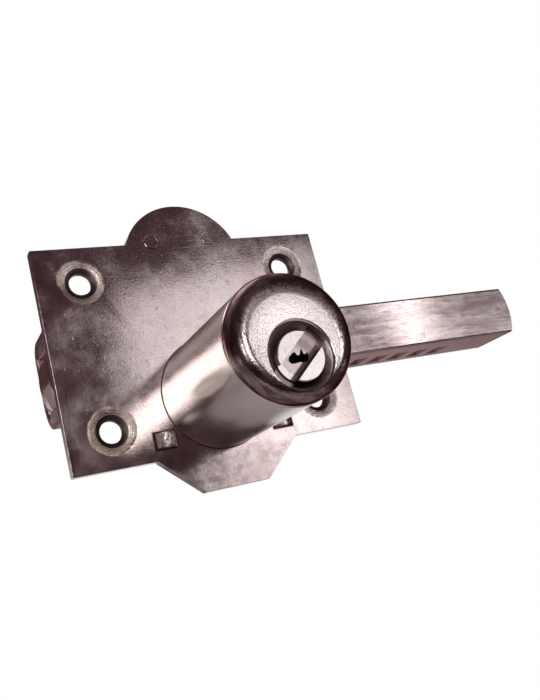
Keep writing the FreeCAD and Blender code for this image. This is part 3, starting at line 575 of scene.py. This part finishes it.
def smooth_copy(node, finish, body, edge):
    """The node's form as one merged mesh with broken edges and smooth faces, in its place."""
    deselect()
    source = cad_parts[node]
    piece = source.copy()
    piece.data = source.data.copy()
    piece.name = node + "_finished"
    piece.parent = None
    piece.matrix_world = source.matrix_world.copy()
    bpy.context.scene.collection.objects.link(piece)
    bpy.context.view_layer.objects.active = piece
    piece.select_set(True)
    bpy.ops.object.transform_apply(location=True, rotation=True, scale=True)
    bpy.ops.object.mode_set(mode="EDIT")
    bpy.ops.mesh.select_all(action="SELECT")
    bpy.ops.mesh.remove_doubles(threshold=MERGE_DISTANCE)
    bpy.ops.mesh.dissolve_limited(angle_limit=math.radians(FLAT_DEG))
    bpy.ops.object.mode_set(mode="OBJECT")
    if edge > 0:
        mod = piece.modifiers.new("edge_break", "BEVEL")
        mod.width = edge
        mod.segments = BREAK_SEGMENTS
        mod.limit_method = "ANGLE"
        mod.angle_limit = math.radians(SHARP_DEG)
        bpy.ops.object.modifier_apply(modifier=mod.name)
    bpy.ops.object.shade_smooth_by_angle(angle=math.radians(SHARP_DEG))
    even = piece.modifiers.new("even_faces", "WEIGHTED_NORMAL")
    even.keep_sharp = True
    even.weight = EVEN_WEIGHT
    bpy.ops.object.modifier_apply(modifier=even.name)
    piece.data.materials.clear()
    piece.data.materials.append(finish)
    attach(piece, body)
    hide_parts(node)


def finish_nodes(finish, *nodes):
    """The CAD forms stay and take this finish."""
    for node in nodes:
        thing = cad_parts[node]
        if not thing.data.materials:
            thing.data.materials.append(finish)
        for slot in thing.material_slots:
            slot.material = finish


class DEADBOLT_OT_plate(bpy.types.Operator):
    """Finishes the mounting plate in smudged polished steel"""

    bl_idname = "deadbolt.plate"
    bl_label = "Mounting plate"

    def execute(self, context):
        sizes = context.scene.deadbolt_sizes
        plate = polished_plate(context.scene.deadbolt_colours)
        smooth_copy("mounting_plate", plate, "frame", sizes.edge_break)
        return {"FINISHED"}


class DEADBOLT_OT_barrel(bpy.types.Operator):
    """Finishes the barrel's sleeve and cap"""

    bl_idname = "deadbolt.barrel"
    bl_label = "Barrel"

    def execute(self, context):
        sizes = context.scene.deadbolt_sizes
        colours = context.scene.deadbolt_colours
        sleeve = satin_sleeve(colours)
        smooth_copy("barrel_sleeve", sleeve, "frame", sizes.fine_break)
        cap = polished_cap(colours)
        smooth_copy("barrel_cap", cap, "frame", sizes.fine_break)
        return {"FINISHED"}


class DEADBOLT_OT_keyhole(bpy.types.Operator):
    """Finishes the guard ring, the plug's face and the plug"""

    bl_idname = "deadbolt.keyhole"
    bl_label = "Guard ring and plug"

    def execute(self, context):
        sizes = context.scene.deadbolt_sizes
        guard = plain_metal(
            "guard_dark_steel", (0.20, 0.152, 0.152), (0.36, 0.29, 0.285), (0.30, 0.42))
        face = plain_metal(
            "plug_face_bright", (0.56, 0.51, 0.50), (0.80, 0.76, 0.75), (0.2, 0.34), 500.0,
            shade=keyway_painted_shade)
        nose = plain_metal(
            "plug_nickelled", (0.50, 0.43, 0.43), (0.72, 0.65, 0.64), (0.28, 0.4), 400.0,
            shade=keyway_painted_shade)
        smooth_copy("guard_ring", guard, "frame", sizes.fine_break)
        smooth_copy("plug_face", face, "plug_drive", sizes.fine_break)
        finish_nodes(nose, "plug")
        return {"FINISHED"}


class DEADBOLT_OT_bolt(bpy.types.Operator):
    """Finishes the bolt in lengthwise brushed steel"""

    bl_idname = "deadbolt.bolt"
    bl_label = "Bolt"

    def execute(self, context):
        sizes = context.scene.deadbolt_sizes
        bolt = brushed_bolt(context.scene.deadbolt_colours)
        smooth_copy("bolt", bolt, "bolt", sizes.edge_break)
        return {"FINISHED"}


class DEADBOLT_OT_case(bpy.types.Operator):
    """Finishes the case, its rivets, the stop pin and the pinion's bush"""

    bl_idname = "deadbolt.case"
    bl_label = "Case"

    def execute(self, context):
        sizes = context.scene.deadbolt_sizes
        sheet = plain_metal(
            "case_sheet_steel", (0.30, 0.225, 0.23), (0.46, 0.365, 0.37), (0.26, 0.42), 60.0,
            grazing=SHEET_GRAZING, peened_with_painted_light=True)
        rivet = plain_metal(
            "rivet_steel", (0.40, 0.35, 0.34), (0.60, 0.54, 0.53), (0.25, 0.4), 300.0)
        brass = plain_metal(
            "bush_turned_brass", (0.50, 0.36, 0.16), (0.74, 0.56, 0.28), (0.25, 0.4), 200.0)
        flush = polished_plate(context.scene.deadbolt_colours, "rivet_polished_steel")
        smooth_copy("case", sheet, "frame", sizes.edge_break)
        smooth_copy("case_rivets", flush, "frame", sizes.fine_break)
        smooth_copy("stop_pin", rivet, "frame", sizes.fine_break)
        smooth_copy("pinion_bush", brass, "frame", sizes.fine_break)
        return {"FINISHED"}


class DEADBOLT_OT_works(bpy.types.Operator):
    """Finishes the pieces inside the barrel and the case"""

    bl_idname = "deadbolt.works"
    bl_label = "Inner works"

    def execute(self, context):
        brass = plain_metal(
            "body_brass", (0.48, 0.35, 0.15), (0.72, 0.55, 0.28), (0.28, 0.42), 160.0)
        steel = plain_metal(
            "works_steel", (0.34, 0.30, 0.30), (0.56, 0.51, 0.50), (0.25, 0.4), 200.0)
        wire = plain_metal(
            "spring_wire", (0.42, 0.39, 0.38), (0.66, 0.62, 0.60), (0.2, 0.35), 900.0)
        dark = plain_metal(
            "hardened_steel", (0.12, 0.10, 0.10), (0.26, 0.22, 0.22), (0.3, 0.45), 300.0)
        pad = moulded_plastic("pad_moulded_plastic", (0.78, 0.75, 0.70))
        finish_nodes(brass, "cylinder_body", "chamber_plugs", "key_pins")
        finish_nodes(steel, "driver_pins", "drive_bar", "pinion", "barrel_screws", "bolt_guides")
        finish_nodes(wire, "pin_springs", "friction_spring")
        finish_nodes(dark, "anti_drill_pins", "plug_clip")
        finish_nodes(pad, "friction_pad")
        return {"FINISHED"}


def pale_floor():
    """Pale paint near the lock, which fades into the white surround further off."""
    b = material_board("studio_floor_paint")
    cloud = b.noise(b.mapping(), 3.0, 3.0, 0.5)
    b.metal(b.blend(b.span(cloud, 0.3, 0.7), *FLOOR_TONES), 0.7, metallic=0.0)
    x, y, _ = b.split()
    far = b.length(x, y)
    glow = b.nodes.new("ShaderNodeEmission")
    white = b.times(b.shown(), b.span(far, *FLOOR_WHITE_FADE, ease=True))
    near = b.times(b.seen(), b.span(far, *FLOOR_SEEN_FADE, ease=True))
    return b.finish_mix(b.math("MAXIMUM", white, near), b.shader, glow)


def white_backdrop():
    """White where it is seen directly or in metal or glass, and plain paint for other light."""
    b = material_board("studio_backdrop_white")
    b.metal(BACKDROP_TONE, 0.9, metallic=0.0)
    glow = b.nodes.new("ShaderNodeEmission")
    return b.finish_mix(b.shown(), b.shader, glow)


def studio_air():
    """Dim air that shows white as a background, and in metal or glass low behind the lock."""
    b = Board(bpy.data.worlds.new("studio_air"), "World Output", "Generated")
    dim = b.nodes["Background"]
    white = b.nodes.new("ShaderNodeBackground")
    for node, tone in ((dim, DIM_AIR), (white, WHITE)):
        node.inputs["Color"].default_value = tone
        node.inputs["Strength"].default_value = 1.0
    _, y, z = b.split()
    low_behind = b.times(b.span(y, *AIR_BEHIND_FADE), b.span(z, *AIR_LOW_FADE))
    share = b.math("MAXIMUM", b.times(b.shown(), low_behind), b.seen())
    return b.finish_mix(share, dim, white)


def softbox(name, aim, side, rise, reach, size, shine):
    """A soft rectangle facing aim, `side` degrees right of the front and `rise` degrees up.

    shine is its brightness as metal shows it: 1 shows a mirror as white.
    """
    a = math.radians(side)
    b = math.radians(rise)
    away = Vector((math.sin(a) * math.cos(b), -math.cos(a) * math.cos(b), math.sin(b)))
    lamp = bpy.data.lights.new(name, "AREA")
    lamp.shape = "RECTANGLE"
    lamp.size, lamp.size_y = size
    lamp.energy = shine * WHITE_LAMP_POWER * size[0] * size[1]
    thing = bpy.data.objects.new(name, lamp)
    thing.location = aim + away * reach
    thing.rotation_euler = (-away).to_track_quat("-Z", "Y").to_euler()
    bpy.context.scene.collection.objects.link(thing)


def photo_camera():
    camera = bpy.data.cameras.new("studio_camera")
    camera.sensor_width = CAMERA_SENSOR
    camera.lens = CAMERA_LENS
    camera.clip_start = CAMERA_NEAR
    eye = bpy.data.objects.new("studio_camera", camera)
    eye.location = CAMERA_PLACE
    eye.rotation_euler = CAMERA_TURN
    bpy.context.scene.collection.objects.link(eye)
    bpy.context.scene.camera = eye
    return eye


def framed_corners(eye, y):
    """The corners of the camera's frame on an upright plane at y, in a new plane's order."""
    high = FRAME_SPARE * eye.data.sensor_width / 2 / eye.data.lens
    wide = high * FRAME_WIDTH / FRAME_HEIGHT
    turn = eye.rotation_euler.to_matrix()
    spots = []
    for side, up in ((-1, -1), (1, -1), (-1, 1), (1, 1)):
        ray = turn @ Vector((side * wide, up * high, -1))
        spots.append(eye.location + ray * ((y - eye.location.y) / ray.y))
    return spots


def studio_plane(name, size, location, finish):
    """A flat piece of the studio, which isn't part of the lock."""
    deselect()
    bpy.ops.mesh.primitive_plane_add(size=size, location=location)
    plane = bpy.context.object
    plane.name = name
    bpy.ops.object.transform_apply(location=True, rotation=True, scale=True)
    plane.data.materials.append(finish)
    return plane


class DEADBOLT_OT_stage(bpy.types.Operator):
    """Sets up the camera, floor, backdrop, lamps and world"""

    bl_idname = "deadbolt.stage"
    bl_label = "Studio"

    def execute(self, context):
        scene = context.scene
        eye = photo_camera()

        paint = pale_floor()
        height = -scene.deadbolt_sizes.floor_drop
        half = FLOOR_SIZE / 2
        studio_plane("studio_floor", FLOOR_SIZE, (0, half - FLOOR_FRONT, height), paint)
        front = studio_plane(
            "studio_floor_front", FLOOR_SIZE, (0, -half - FLOOR_FRONT, height), paint)
        # metal doesn't show this floor, so that it stays dark where it faces the front
        front.visible_glossy = False

        back = studio_plane("studio_backdrop", 1, (0, 0, 0), white_backdrop())
        for vertex, spot in zip(back.data.vertices, framed_corners(eye, BACKDROP_Y)):
            vertex.co = spot

        scene.world = studio_air()
        for lamp in LAMPS:
            softbox(*lamp)
        scene.view_settings.view_transform = "Standard"
        return {"FINISHED"}


class DEADBOLT_PT_panel(bpy.types.Panel):
    """Lists the steps that dress the lock, its sizes and its colours"""

    bl_label = "Deadbolt"
    bl_idname = "DEADBOLT_PT_panel"
    bl_space_type = "VIEW_3D"
    bl_region_type = "UI"
    bl_category = "Deadbolt"

    def draw(self, context):
        column = self.layout.column()
        for step in STEPS:
            column.operator(step.bl_idname)
        scene = context.scene
        for group in (scene.deadbolt_sizes, scene.deadbolt_colours):
            for key in type(group).__annotations__:
                column.prop(group, key)


STEPS = (
    DEADBOLT_OT_plate,
    DEADBOLT_OT_barrel,
    DEADBOLT_OT_keyhole,
    DEADBOLT_OT_bolt,
    DEADBOLT_OT_case,
    DEADBOLT_OT_works,
    DEADBOLT_OT_stage,
)
CLASSES = (DeadboltSizes, DeadboltColours) + STEPS + (DEADBOLT_PT_panel,)


def register():
    for cls in CLASSES:
        bpy.utils.register_class(cls)
    bpy.types.Scene.deadbolt_sizes = bpy.props.PointerProperty(type=DeadboltSizes)
    bpy.types.Scene.deadbolt_colours = bpy.props.PointerProperty(type=DeadboltColours)


def unregister():
    del bpy.types.Scene.deadbolt_colours
    del bpy.types.Scene.deadbolt_sizes
    for cls in reversed(CLASSES):
        bpy.utils.unregister_class(cls)


def main():
    register()
    for step in STEPS:
        group, name = step.bl_idname.split(".")
        getattr(getattr(bpy.ops, group), name)()


if __name__ == "__main__":
    main()
